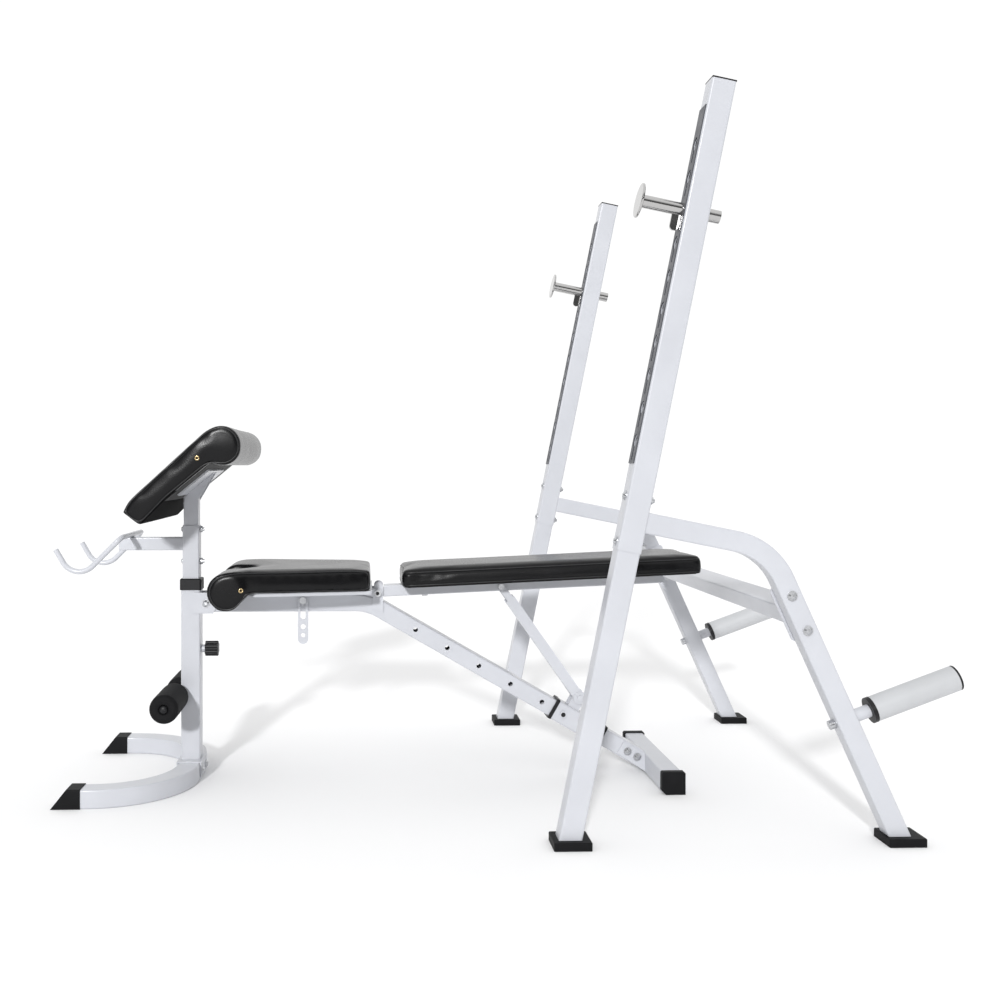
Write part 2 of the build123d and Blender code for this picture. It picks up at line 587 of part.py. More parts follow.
def seat_outline(front_x, rear_x, front_half, rear_half, corner, z0, z1):
    face = make_face(Polyline((front_x, -front_half), (rear_x, -rear_half), (rear_x, rear_half),
                              (front_x, front_half), close=True))
    face = fillet(face.vertices(), corner)
    return Pos(0, 0, z0) * extrude(face, z1 - z0)


NOTCH_HALF = 52.0
NOTCH_END = -655.0
roll_centre_z = SEAT_TOP - 1 - SEAT_ROLL_RADIUS
seat_pad = seat_outline(SEAT_FRONT_X, SEAT_REAR_X, SEAT_FRONT_HALF, SEAT_REAR_HALF, 18, SEAT_BOTTOM, SEAT_TOP)
seat_roll = Rot(90, 0, 0) * Cylinder(SEAT_ROLL_RADIUS, 2 * SEAT_FRONT_HALF)
seat_pad += Pos(SEAT_FRONT_X, 0, roll_centre_z) * seat_roll
notch = bar(SEAT_FRONT_X - 60, NOTCH_END - NOTCH_HALF + 5, -NOTCH_HALF, NOTCH_HALF, 300, 600)
notch += Pos(NOTCH_END - NOTCH_HALF + 5, 0, 450) * Cylinder(NOTCH_HALF, 300)
save("seat_pad", seat_pad - notch)

FRAME_THICK = 8.0
frame_top = SEAT_BOTTOM
frame_low = SEAT_BOTTOM - FRAME_THICK
seat_frame = seat_outline(-645, SEAT_REAR_X + 2, SEAT_FRONT_HALF - 24, SEAT_REAR_HALF - 14, 10,
                          frame_low, frame_top)
strap_y = half_beam + PLATE + GAP
for sign in SIDES.values():
    y0, y1 = sorted((sign * strap_y, sign * (strap_y + PLATE)))
    strap = prism([(HINGE_X - 60, frame_low + 2), (HINGE_X, HINGE_Z + 11), (HINGE_X, HINGE_Z - 11),
                   (HINGE_X - 60, HINGE_Z + 2)], y0, y1)
    strap += Pos(HINGE_X, (y0 + y1) / 2, HINGE_Z) * Rot(90, 0, 0) * Cylinder(11, PLATE)
    seat_frame += strap
seat_frame -= rod((HINGE_X, -60, HINGE_Z), (HINGE_X, 60, HINGE_Z), PIN_RADIUS + RUNNING_FIT)
BEAM_TOP = BEAM_Z + BEAM_HEIGHT / 2
seat_frame += bar(-640, -610, -18, 18, BEAM_TOP + GAP, frame_low + 1)
LUG_Z = frame_low - 7
plate_y0 = -half_beam - 1 - PLATE
lug_y1 = plate_y0 - GAP
lug = bar(SEAT_PLATE_X - 9, SEAT_PLATE_X + 9, lug_y1 - PLATE, lug_y1, LUG_Z - 8, frame_low + 1)
lug += rod((SEAT_PLATE_X, lug_y1 - 1, LUG_Z), (SEAT_PLATE_X, plate_y0 + PLATE, LUG_Z), 4)
seat_frame += lug
save("seat_frame", seat_frame)

plate = prism([(SEAT_PLATE_X - 12, 320), (SEAT_PLATE_X + 12, 320), (SEAT_PLATE_X + 12, LUG_Z - 6),
               (SEAT_PLATE_X - 12, LUG_Z - 6)], plate_y0, plate_y0 + PLATE)
for end_z in (320, LUG_Z - 6):
    plate += Pos(SEAT_PLATE_X, plate_y0 + PLATE / 2, end_z) * Rot(90, 0, 0) * Cylinder(12, PLATE)
plate -= bar(SEAT_PLATE_X - 6, SEAT_PLATE_X + 6, -60, 60, STUD_Z - 38, STUD_Z)
for z, radius in ((STUD_Z, 6), (STUD_Z - 38, 6), (348, 6), (328, 5)):
    plate -= rod((SEAT_PLATE_X, -60, z), (SEAT_PLATE_X, 60, z), radius)
plate -= rod((SEAT_PLATE_X, -60, LUG_Z), (SEAT_PLATE_X, 60, LUG_Z), 4 + RUNNING_FIT)
save("seat_plate", plate)

# =============================== backrest ===============================
back = Location((HINGE_X, 0, HINGE_Z), (0, -BACK_INCLINE, 0))
TUBE_LOW, TUBE_HIGH = -10.0, 16.0
tube_mid = (TUBE_LOW + TUBE_HIGH) / 2
tube_start = 15.0
back_plane = Plane(origin=(tube_start, 0, tube_mid), x_dir=(0, 1, 0), z_dir=(1, 0, 0))
back_frame = extrude(back_plane * tube_section(BACK_TUBE_WIDTH, TUBE_HIGH - TUBE_LOW, TUBE_WALL, 3.0),
                     BACK_END - 70 - tube_start)
back_frame += Rot(90, 0, 0) * Cylinder(9.5, BACK_TUBE_WIDTH)
back_frame += bar(0, tube_start + 1, -BACK_TUBE_WIDTH / 2, BACK_TUBE_WIDTH / 2, -9, 9)
screw_places = (110.0, 585.0)
back_frame -= rod((0, -60, 0), (0, 60, 0), PIN_RADIUS + RUNNING_FIT)
back_frame -= rod((STRUT_ALONG, -60, 0), (STRUT_ALONG, 60, 0), PIN_RADIUS)
for x in screw_places:
    back_frame -= rod((x, 0, TUBE_LOW - 1), (x, 0, TUBE_LOW + TUBE_WALL), 3)
save("backrest_frame", back * back_frame)
strut_half = BACK_TUBE_WIDTH / 2
strut_out = strut_half + GAP + 3
strut_pin = rod((STRUT_ALONG, -strut_out - 1, 0), (STRUT_ALONG, strut_out + 1, 0), PIN_RADIUS)
for sign in SIDES.values():
    strut_pin += rod((STRUT_ALONG, sign * (strut_out + 1), 0), (STRUT_ALONG, sign * (strut_out + 4), 0), 7)
save("strut_pin", back * strut_pin)
back_pad = bar(BACK_START, BACK_END, -BACK_HALF, BACK_HALF, TUBE_HIGH, TUBE_HIGH + 43)
back_pad = fillet(back_pad.edges().filter_by(Axis.Z), 16)
back_pad = fillet(back_pad.edges().group_by(Axis.Z)[-1], 11)
back_board = bar(BACK_START + 14, BACK_END - 14, -BACK_HALF + 14, BACK_HALF - 14, TUBE_HIGH, TUBE_HIGH + 8)
save("backrest_pad", back * (back_pad - back_board))
save("backrest_board", back * back_board)
screws = []
for x in screw_places:
    head = rod((x, 0, TUBE_LOW - 4), (x, 0, TUBE_LOW), 7)
    shank = rod((x, 0, TUBE_LOW), (x, 0, TUBE_LOW + TUBE_WALL), 3)
    screws.append(back * (head + shank))
save("backrest_screws", screws)

# =============================== strut and slider ===============================
top_pivot = back * Pos(STRUT_ALONG, 0, 0)
top = top_pivot.position
low = Vector(*on_beam(SLIDER_PIVOT_AT, SLIDER_PIVOT_HEIGHT))
strut_way = low - top
strut_length = strut_way.length
strut_plane = Plane(origin=top, x_dir=(0, 1, 0), z_dir=strut_way)
# In the strut's frame z runs down the strut, x across, and y towards the foot end of the bench.
front = 1 if strut_plane.y_dir.X < 0 else -1


def strut_piece(x0, x1, y0, y1, z0, z1):
    y0, y1 = sorted((front * y0, front * y1))
    return bar(x0, x1, y0, y1, z0, z1)


strut = strut_piece(-strut_out, strut_out, 9, 12, 42, strut_length - 40)
for sign in SIDES.values():
    x0, x1 = sorted((sign * (strut_half + GAP), sign * strut_out))
    x_mid = (x0 + x1) / 2
    strut += strut_piece(x0, x1, -12, 12, 36, strut_length)
    strut += strut_piece(x0, x1, -8, 8, 0, 40)
    strut += Pos(x_mid, 0, 0) * Rot(0, 90, 0) * Cylinder(8, 3)
    strut += Pos(x_mid, 0, strut_length) * Rot(0, 90, 0) * Cylinder(STRUT_END_RADIUS, 3)
    strut -= Pos(x_mid, 0, 0) * Rot(0, 90, 0) * Cylinder(PIN_RADIUS + RUNNING_FIT, 10)
    strut -= Pos(x_mid, 0, strut_length) * Rot(0, 90, 0) * Cylinder(SLIDER_PIN_RADIUS + STRUT_SLACK, 10)
strut = strut_plane.location * strut
save("strut", strut)

slider_plane = Plane(origin=on_beam(SLIDER_AT - SLIDER_LENGTH / 2), x_dir=(0, 1, 0), z_dir=beam_down)
SLIDER_WALL = 3.0
inner_w, inner_h = BEAM_WIDTH + 2 * GAP, BEAM_HEIGHT + 2 * GAP
sleeve_face = (RectangleRounded(inner_w + 2 * SLIDER_WALL, inner_h + 2 * SLIDER_WALL, 5)
               - RectangleRounded(inner_w, inner_h, 2.0))
slider = extrude(sleeve_face, SLIDER_LENGTH)
pivot_at = SLIDER_LENGTH / 2 + SLIDER_PIVOT_AT - SLIDER_AT
lug_up = 1 if slider_plane.y_dir.Z > 0 else -1
y0, y1 = sorted((lug_up * (inner_h / 2 + 1), lug_up * SLIDER_PIVOT_HEIGHT))
pin_out = strut_out + GAP
for sign in SIDES.values():
    x0, x1 = sorted((sign * 13, sign * 18))
    slider += bar(x0, x1, y0, y1, pivot_at - 14, pivot_at + 14)
    slider += Pos((x0 + x1) / 2, lug_up * SLIDER_PIVOT_HEIGHT, pivot_at) * Rot(0, 90, 0) * Cylinder(14, 5)
    washer_x = sign * (pin_out + 1)
    slider += Pos(washer_x, lug_up * SLIDER_PIVOT_HEIGHT, pivot_at) * Rot(0, 90, 0) * Cylinder(14.5, 2)
    head_x = sign * (pin_out + 4)
    slider += Pos(head_x, lug_up * SLIDER_PIVOT_HEIGHT, pivot_at) * Rot(0, 90, 0) * Cylinder(7, 5)
pivot = Pos(0, lug_up * SLIDER_PIVOT_HEIGHT, pivot_at)
slider += pivot * Rot(0, 90, 0) * Cylinder(SLIDER_PIN_RADIUS, 2 * pin_out + 2)
pin_x = inner_w / 2 + SLIDER_WALL
slider += Pos(-lug_up * (pin_x + 3), 0, 20) * Rot(0, 90, 0) * Cylinder(8, 7)
save("slider", slider_plane.location * slider)
liners = []
for z0, z1 in ((-8, 0), (SLIDER_LENGTH, SLIDER_LENGTH + 8)):
    ring = Pos(0, 0, z0) * extrude(RectangleRounded(inner_w + 2 * SLIDER_WALL + 3, inner_h + 2 * SLIDER_WALL + 3, 5)
                                   - RectangleRounded(inner_w, inner_h, 2.0), z1 - z0)
    liners.append(slider_plane.location * ring)
save("slider_liners", liners)

# =============================== output ===============================
boxes = [piece.bounding_box() for group in nodes.values() for piece in group]
low_corner = [min(getattr(box.min, axis) for box in boxes) for axis in "XYZ"]
high_corner = [max(getattr(box.max, axis) for box in boxes) for axis in "XYZ"]
middle_x = (low_corner[0] + high_corner[0]) / 2
os.makedirs("parts", exist_ok=True)
for name, group in nodes.items():
    moved = [Pos(-middle_x, 0, 0) * solid for piece in group for solid in piece.solids()]
    shape = moved[0] if len(moved) == 1 else Compound(moved)
    export_step(shape, f"parts/{name}.step")


def report(label, point):
    print(label, [round(value, 3) for value in (point.X - middle_x, point.Y, point.Z)])


print("nodes", len(nodes), "box", low_corner, high_corner, "middle", middle_x)
report("hinge", Vector(HINGE_X, 0, HINGE_Z))
report("strut top", top)
report("strut low", low)
report("beam direction point", Vector(*on_beam(0)))
report("seat plate pivot", Vector(SEAT_PLATE_X, plate_y0, LUG_Z))
report("roller", Vector(ROLLER_X, 0, ROLLER_Z))
report("knob", Vector(knob_face, 0, KNOB_Z))
report("peg right", lean_point(0, PEG_HEIGHT, -RACK_HALF_WIDTH))
report("post", Vector(POST_X, 0, OUTER_TOP))
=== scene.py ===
from math import cos, pi, radians, sin

import bpy
import bmesh
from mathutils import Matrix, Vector
from mathutils.bvhtree import BVHTree
from mathutils.kdtree import KDTree


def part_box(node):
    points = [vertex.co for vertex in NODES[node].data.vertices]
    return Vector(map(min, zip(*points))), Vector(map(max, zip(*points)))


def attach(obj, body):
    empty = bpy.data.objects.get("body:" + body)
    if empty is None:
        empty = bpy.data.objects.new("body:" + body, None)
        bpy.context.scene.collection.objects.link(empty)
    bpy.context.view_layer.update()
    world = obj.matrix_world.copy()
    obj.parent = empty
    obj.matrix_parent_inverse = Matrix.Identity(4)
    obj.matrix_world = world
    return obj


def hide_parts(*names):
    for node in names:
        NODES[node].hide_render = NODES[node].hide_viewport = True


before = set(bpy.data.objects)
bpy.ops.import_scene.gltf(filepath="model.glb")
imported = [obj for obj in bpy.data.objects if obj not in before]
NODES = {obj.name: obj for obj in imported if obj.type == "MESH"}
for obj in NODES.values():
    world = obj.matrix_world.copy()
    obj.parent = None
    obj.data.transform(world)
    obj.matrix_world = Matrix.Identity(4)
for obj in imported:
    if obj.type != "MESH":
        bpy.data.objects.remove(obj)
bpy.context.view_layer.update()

# The part in metres: X from the curl hooks to the rack, Y across, Z up.
SIDES = {"right": -1, "left": 1}
LAYOUT_X = 0.17095                 # X of the rack's front feet
HINGE = Vector((LAYOUT_X - 0.369, 0, 0.425))
BACK_INCLINE = 2.6                  # degrees
PREACHER_SLOPE = radians(39.6)
PREACHER_HALF = 0.235
SEAT_ROLL_END = LAYOUT_X - 0.6      # the rolls of the two pads end here, and their flat undersides start
PREACHER_ROLL_END = LAYOUT_X - 0.8
PAD_VOXEL = 0.005
PAD_SHRINK = 0.0015                 # drawn in first, because the cloth swells
PAD_CAP = 0.0045                    # how far a point of a pad may travel
RESTING = 0.85                      # how squarely a face points down where the pad rests
LINED = 0.8                         # and where it has a lining


# ------------------------------------------------------------------ camera
def make_camera():
    data = bpy.data.cameras.new("camera")
    data.sensor_width = 36
    data.lens = 40.68
    data.shift_x = 0.0905
    data.shift_y = -0.0341
    data.clip_end = 100
    camera = bpy.data.objects.new("camera", data)
    bpy.context.scene.collection.objects.link(camera)
    camera.location = (LAYOUT_X - 0.3844, -2.6415, 0.719)
    camera.rotation_euler = (radians(90), 0, radians(-1.954))
    bpy.context.scene.camera = camera


# ------------------------------------------------------------------ materials
def material(name, color, rough, metal=0.0, coat=0.0, specular=0.5, sheen=0.0):
    mat = bpy.data.materials.new(name)
    mat.use_nodes = True
    shader = mat.node_tree.nodes["Principled BSDF"]
    shader.inputs["Base Color"].default_value = (*color, 1)
    shader.inputs["Roughness"].default_value = rough
    shader.inputs["Metallic"].default_value = metal
    shader.inputs["Coat Weight"].default_value = coat
    shader.inputs["Coat Roughness"].default_value = 0.12
    shader.inputs["Specular IOR Level"].default_value = specular
    shader.inputs["Sheen Weight"].default_value = sheen
    return mat


def add_bump(mat, scale, strength, distance, kind="noise", detail=3.0):
    """A fine even relief in object space."""
    tree = mat.node_tree
    where = tree.nodes.new("ShaderNodeTexCoord")
    if kind == "noise":
        texture = tree.nodes.new("ShaderNodeTexNoise")
        texture.inputs["Detail"].default_value = detail
        out = texture.outputs["Fac"]
    else:
        texture = tree.nodes.new("ShaderNodeTexVoronoi")
        out = texture.outputs["Distance"]
    texture.inputs["Scale"].default_value = scale
    bump = tree.nodes.new("ShaderNodeBump")
    bump.inputs["Strength"].default_value = strength
    bump.inputs["Distance"].default_value = distance
    tree.links.new(where.outputs["Object"], texture.inputs["Vector"])
    tree.links.new(out, bump.inputs["Height"])
    tree.links.new(bump.outputs["Normal"], tree.nodes["Principled BSDF"].inputs["Normal"])
    return mat


def add_tone(mat, low, high, scale):
    """Roughness that wanders a little, as handled surfaces do."""
    tree = mat.node_tree
    where = tree.nodes.new("ShaderNodeTexCoord")
    noise = tree.nodes.new("ShaderNodeTexNoise")
    noise.inputs["Scale"].default_value = scale
    noise.inputs["Detail"].default_value = 4
    spread = tree.nodes.new("ShaderNodeMapRange")
    spread.inputs["From Min"].default_value = 0.3
    spread.inputs["From Max"].default_value = 0.7
    spread.inputs["To Min"].default_value = low
    spread.inputs["To Max"].default_value = high
    tree.links.new(where.outputs["Object"], noise.inputs["Vector"])
    tree.links.new(noise.outputs["Fac"], spread.inputs["Value"])
    tree.links.new(spread.outputs["Result"], tree.nodes["Principled BSDF"].inputs["Roughness"])
    return mat


def add_shade(mat, darker, scale, low=0.35, high=0.65):
    """Base colour that drifts a little towards a darker share of itself."""
    tree = mat.node_tree
    socket = tree.nodes["Principled BSDF"].inputs["Base Color"]
    color = tuple(socket.default_value)
    where = tree.nodes.new("ShaderNodeTexCoord")
    noise = tree.nodes.new("ShaderNodeTexNoise")
    noise.inputs["Scale"].default_value = scale
    noise.inputs["Detail"].default_value = 5
    ramp = tree.nodes.new("ShaderNodeValToRGB")
    ramp.color_ramp.elements[0].position = low
    ramp.color_ramp.elements[0].color = (*(part * darker for part in color[:3]), 1)
    ramp.color_ramp.elements[1].position = high
    ramp.color_ramp.elements[1].color = color
    tree.links.new(where.outputs["Object"], noise.inputs["Vector"])
    tree.links.new(noise.outputs["Fac"], ramp.inputs["Fac"])
    tree.links.new(ramp.outputs["Color"], socket)
    return mat


PAINT = add_tone(material("white_paint", (0.55, 0.562, 0.6), 0.34, coat=0.2), 0.28, 0.4, 14)
add_bump(add_shade(PAINT, 0.95, 9), 420, 0.05, 0.0004, detail=1)
SLEEVE = add_tone(material("sleeve_paint", (0.49, 0.5, 0.515), 0.4), 0.36, 0.46, 20)
add_shade(SLEEVE, 0.95, 12)
ZINC = add_tone(material("zinc", (0.6, 0.61, 0.63), 0.3, metal=1.0), 0.22, 0.38, 60)
add_shade(ZINC, 0.85, 140)
CHROME = add_tone(material("chrome", (0.52, 0.515, 0.51), 0.1, metal=1.0), 0.08, 0.17, 30)
RUBBER = add_bump(material("black_rubber", (0.005, 0.005, 0.006), 0.6, specular=0.16), 900, 0.2, 0.0006)
add_shade(RUBBER, 0.75, 40)
PLASTIC = add_bump(material("black_plastic", (0.008, 0.008, 0.0095), 0.42, specular=0.3), 1300, 0.15, 0.0004)
add_shade(PLASTIC, 0.8, 60)
STRIP = add_tone(material("dark_strip", (0.07, 0.073, 0.085), 0.42, metal=0.3), 0.36, 0.5, 40)
add_bump(STRIP, 800, 0.1, 0.0003)
VINYL = add_bump(material("black_vinyl", (0.004, 0.004, 0.0046), 0.25, specular=0.24),
                 520, 0.16, 0.0005, kind="cells")
add_shade(add_tone(VINYL, 0.24, 0.28, 10), 0.8, 30)
WELT = add_tone(material("vinyl_welt", (0.009, 0.009, 0.01), 0.34, specular=0.4), 0.3, 0.4, 120)
FOAM = add_bump(material("black_foam", (0.006, 0.006, 0.007), 0.75, specular=0.2), 700, 0.5, 0.0009)
add_shade(FOAM, 0.7, 80)
BOARD = add_bump(material("black_board", (0.012, 0.012, 0.012), 0.7), 300, 0.3, 0.0006)
LINING = add_bump(material("black_lining", (0.006, 0.006, 0.006), 0.9, specular=0.04), 900, 0.3, 0.0004)
BRASS = add_tone(material("brass", (0.72, 0.55, 0.3), 0.25, metal=1.0), 0.18, 0.34, 400)

NODE_LOOKS = {
    "front_foot_caps": RUBBER, "rear_foot_caps": RUBBER, "rack_front_feet": RUBBER, "rack_rear_feet": RUBBER,
    "post_collar": PLASTIC, "lock_knob": PLASTIC, "slider_liners": PLASTIC, "upright_caps": PLASTIC,
    "storage_sleeve_ends": PLASTIC, "foot_bolts": ZINC, "post_bolts": ZINC, "beam_bolts": ZINC,
    "rear_foot_bolts": ZINC, "upright_bolts": ZINC, "cross_tube_bolts": ZINC, "storage_bolts": ZINC,
    "backrest_screws": ZINC, "hinge_pin": ZINC, "strut_pin": ZINC, "roller_rod": ZINC,
    "keyhole_strip_right": STRIP, "keyhole_strip_left": STRIP, "preacher_board": BOARD, "backrest_board": BOARD,
    "bar_peg_right": CHROME, "bar_peg_left": CHROME,
    "storage_sleeve_right": SLEEVE, "storage_sleeve_left": SLEEVE,
}


def dress_nodes():
    for name, node in NODES.items():
        look = NODE_LOOKS.get(name, PAINT)
        if not node.material_slots:
            node.data.materials.append(look)
        for slot in node.material_slots:
            slot.material = look


# ------------------------------------------------------------------ pieces
def link(name, mesh, look, smooth=True):
    piece = bpy.data.objects.new(name, mesh)
    bpy.context.scene.collection.objects.link(piece)
    mesh.materials.clear()
    mesh.materials.append(look)
    if smooth:
        for face in mesh.polygons:
            face.use_smooth = True
    return piece


def placed(piece, body):
    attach(piece, body)
    return piece


def applied(piece):
    """The piece's mesh with its modifiers taken in."""
    bpy.context.view_layer.update()
    seen = piece.evaluated_get(bpy.context.evaluated_depsgraph_get())
    mesh = bpy.data.meshes.new_from_object(seen)
    piece.modifiers.clear()
    piece.data = mesh
    return piece


def remeshed(piece, voxel):
    modifier = piece.modifiers.new("remesh", "REMESH")
    modifier.mode = "VOXEL"
    modifier.voxel_size = voxel
    return applied(piece)


def shrunk(piece, depth, held):
    """Draws the surface in along its normals, but keeps the points that held() picks in their plane."""
    mesh = piece.data
    normals = [vertex.normal.copy() for vertex in mesh.vertices]
    for vertex, normal in zip(mesh.vertices, normals):
        if not held(normal):
            vertex.co -= normal * depth


def swollen(piece, pinned, cap, pressure, frames=20):
    """Cloth under pressure, with the resting face pinned and each point's travel capped."""
    group = piece.vertex_groups.new(name="pinned")
    group.add(pinned, 1.0, "REPLACE")
    cloth = piece.modifiers.new("cloth", "CLOTH")
    settings = cloth.settings
    settings.quality = 5
    settings.mass = 0.25
    settings.tension_stiffness = 30
    settings.compression_stiffness = 30
    settings.bending_stiffness = 3
    settings.use_pressure = True
    settings.uniform_pressure_force = pressure
    settings.vertex_group_mass = "pinned"
    settings.effector_weights.gravity = 0
    cloth.collision_settings.use_collision = False
    start = [vertex.co.copy() for vertex in piece.data.vertices]
    scene = bpy.context.scene
    for step in range(1, frames + 1):
        scene.frame_set(step)
    applied(piece)
    scene.frame_set(1)
    for vertex, was in zip(piece.data.vertices, start):
        travel = vertex.co - was
        vertex.co = was + travel * 0.5
        if travel.length > 2 * cap:
            vertex.co = was + travel.normalized() * cap
    piece.vertex_groups.clear()


def relaxed(piece, times, factor=0.5):
    modifier = piece.modifiers.new("relax", "SMOOTH")
    modifier.factor = factor
    modifier.iterations = times
    applied(piece)


def subdivided(piece, levels=1):
    modifier = piece.modifiers.new("subdivide", "SUBSURF")
    modifier.levels = levels
    modifier.render_levels = levels
    applied(piece)
    for face in piece.data.polygons:
        face.use_smooth = True


def cushion(name, node, body, down, pressure, lined):
    """A vinyl-covered foam pad: a block swollen under a cloth cover that stays flat where it rests.

    lined() picks the places whose underside has a matt lining and no vinyl, so that the rolls keep theirs.
    """
    piece = link(name, NODES[node].data.copy(), VINYL)
    remeshed(piece, PAD_VOXEL)
    shrunk(piece, PAD_SHRINK, lambda normal: normal.dot(down) > RESTING)
    pinned = [v.index for v in piece.data.vertices if v.normal.dot(down) > RESTING]
    swollen(piece, pinned, PAD_CAP, pressure)
    relaxed(piece, 12)
    subdivided(piece)
    piece.data.materials.clear()
    piece.data.materials.append(VINYL)
    piece.data.materials.append(LINING)
    for face in piece.data.polygons:
        face.material_index = 1 if face.normal.dot(down) > LINED and lined(face.center) else 0
    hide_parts(node)
    return placed(piece, body)


def tube(name, points, radius, look, closed=True):
    """A round bead through points."""
    curve = bpy.data.curves.new(name, "CURVE")
    curve.dimensions = "3D"
    curve.bevel_depth = radius
    curve.bevel_resolution = 3
    line = curve.splines.new("POLY")
    line.points.add(len(points) - 1)
    for target, point in zip(line.points, points):
        target.co = (*point, 1)
    line.use_cyclic_u = closed
    bead = bpy.data.objects.new(name, curve)
    bpy.context.scene.collection.objects.link(bead)
    bpy.context.view_layer.update()
    mesh = bpy.data.meshes.new_from_object(bead.evaluated_get(bpy.context.evaluated_depsgraph_get()))
    bpy.data.objects.remove(bead)
    return link(name, mesh, look)


def section_loop(piece, place, normal, step=0.006):
    """The longest closed line where a plane cuts a piece, as evenly spaced points."""
    work = bmesh.new()
    work.from_mesh(piece.data)
    everything = work.verts[:] + work.edges[:] + work.faces[:]
    cut = bmesh.ops.bisect_plane(work, geom=everything, plane_co=place, plane_no=normal)["geom_cut"]
    # A dict keeps its order and a set does not, so every run starts at the same edge.
    edges = dict.fromkeys(edge for edge in cut if isinstance(edge, bmesh.types.BMEdge))
    best = []
    while edges:
        edge, _ = edges.popitem()
        first, here = edge.verts
        chain = [first.co.copy(), here.co.copy()]
        while here is not first:
            onward = next((e for e in here.link_edges if e in edges), None)
            if onward is None:
                break
            del edges[onward]
            here = onward.other_vert(here)
            chain.append(here.co.copy())
        if len(chain) > len(best):
            best = chain
    work.free()
    even, carry = [best[0]], 0.0
    for start, end in zip(best, best[1:]):
        carry += (end - start).length
        if carry >= step:
            even.append(end)
            carry = 0.0
    return smooth_loop(even[:-1], 2)


def inset_loop(points, normal, depth):
    """A flat closed line drawn inward by a depth."""
    middle = sum(points, Vector()) / len(points)
    area = sum((points[i - 1] - middle).cross(p - middle).dot(normal) for i, p in enumerate(points))
    side = 1 if area > 0 else -1
    moved = []
    for i, point in enumerate(points):
        along = (points[(i + 1) % len(points)] - points[i - 1]).normalized()
        moved.append(point + normal.cross(along) * depth * side)
    return moved


def dropped_on(piece, points, normal, reach=0.05):
    """Where each point meets a piece's surface on the way in from outside, against a normal."""
    tree = BVHTree.FromObject(piece, bpy.context.evaluated_depsgraph_get())
    found = []
    for point in points:
        place, _, _, _ = tree.ray_cast(point + normal * reach, -normal)
        if place is not None:
            found.append(place)
    return found


def smooth_loop(points, rounds):
    for _ in range(rounds):
        count = len(points)
        points = [(points[i - 1] + points[i] * 2 + points[(i + 1) % count]) / 4 for i in range(count)]
    return points


def stage():
    mesh = bpy.data.meshes.new("floor")
    reach = 60
    mesh.from_pydata([(-reach, -reach, 0), (reach, -reach, 0), (reach, reach, 0), (-reach, reach, 0)], [],
                     [(0, 1, 2, 3)])
    white = material("floor_white", (0.94, 0.94, 0.943), 0.95, specular=0.0)
    floor = link("floor", mesh, white, smooth=False)
    world = bpy.data.worlds.new("studio")
    world.use_nodes = True
    tree = world.node_tree
    where = tree.nodes.new("ShaderNodeTexCoord")
    split = tree.nodes.new("ShaderNodeSeparateXYZ")
    tree.links.new(where.outputs["Generated"], split.inputs["Vector"])
    brightest = tree.nodes.new("ShaderNodeMath")
    brightest.operation = "MAXIMUM"
    # A dim hall on the side the light stands, bright overhead and behind the part.
    for side, axis, start, end in ((0, "Y", -0.5, 0.35), (1, "Z", 0.3, 0.75)):
        ramp = tree.nodes.new("ShaderNodeMapRange")
        ramp.interpolation_type = "SMOOTHSTEP"
        ramp.inputs["From Min"].default_value = start
        ramp.inputs["From Max"].default_value = end
        ramp.inputs["To Min"].default_value = 0.1
        ramp.inputs["To Max"].default_value = 1.04
        tree.links.new(split.outputs[axis], ramp.inputs["Value"])
        tree.links.new(ramp.outputs["Result"], brightest.inputs[side])
    tree.nodes["Background"].inputs["Color"].default_value = (1, 1, 1, 1)
    # The backdrop itself is white from every side.
    ray = tree.nodes.new("ShaderNodeLightPath")
    shown = tree.nodes.new("ShaderNodeMix")
    shown.inputs["B"].default_value = 1.04
    tree.links.new(ray.outputs["Is Camera Ray"], shown.inputs["Factor"])
    tree.links.new(brightest.outputs["Value"], shown.inputs["A"])
    tree.links.new(shown.outputs["Result"], tree.nodes["Background"].inputs["Strength"])
    bpy.context.scene.world = world

    sun = bpy.data.lights.new("key", "SUN")
    sun.energy = 2.3
    sun.angle = radians(4)
    lamp = bpy.data.objects.new("key", sun)
    bpy.context.scene.collection.objects.link(lamp)
    lamp.rotation_euler = Vector((0.22, 1.0, -0.35)).to_track_quat("-Z", "Y").to_euler()
    bpy.context.scene.view_settings.view_transform = "Standard"


make_camera()
dress_nodes()
stage()
DOWN = Vector((0, 0, -1))
seat = cushion("seat_cushion", "seat_pad", "seat", DOWN, 1.6, lambda place: place.x > SEAT_ROLL_END)
back = cushion("back_cushion", "backrest_pad", "backrest", DOWN, 2.0, lambda place: True)
preacher_down = Vector((sin(PREACHER_SLOPE), 0, -cos(PREACHER_SLOPE)))
preacher = cushion("preacher_cushion", "preacher_pad", "preacher", preacher_down, 1.6,
                   lambda place: place.x < PREACHER_ROLL_END)


# ------------------------------------------------------------------ seams
def back_place(along, across, up):
    """A point given in the backrest's own tilted frame."""
    tilt = radians(BACK_INCLINE)
    return HINGE + Vector((cos(tilt) * along - sin(tilt) * up, across, sin(tilt) * along + cos(tilt) * up))


def sunk_seam(name, piece, body, line, radius, width=0.009, depth=0.0018):
    """A bead lying in the groove that its stitching draws in along a closed line."""
    fine = [start.lerp(end, k / 3) for start, end in zip(line, line[1:] + line[:1]) for k in range(3)]
    near = KDTree(len(fine))
    for index, point in enumerate(fine):
        near.insert(point, index)
    near.balance()
    mesh = piece.data
    normals = [vertex.normal.copy() for vertex in mesh.vertices]
    for vertex, normal in zip(mesh.vertices, normals):
        away = near.find(vertex.co)[2]
        if away < width:
            vertex.co -= normal * depth * (1 - away / width) ** 2
    mesh.update()
    bead = tube(name, line, radius, WELT)
    return placed(bead, body)


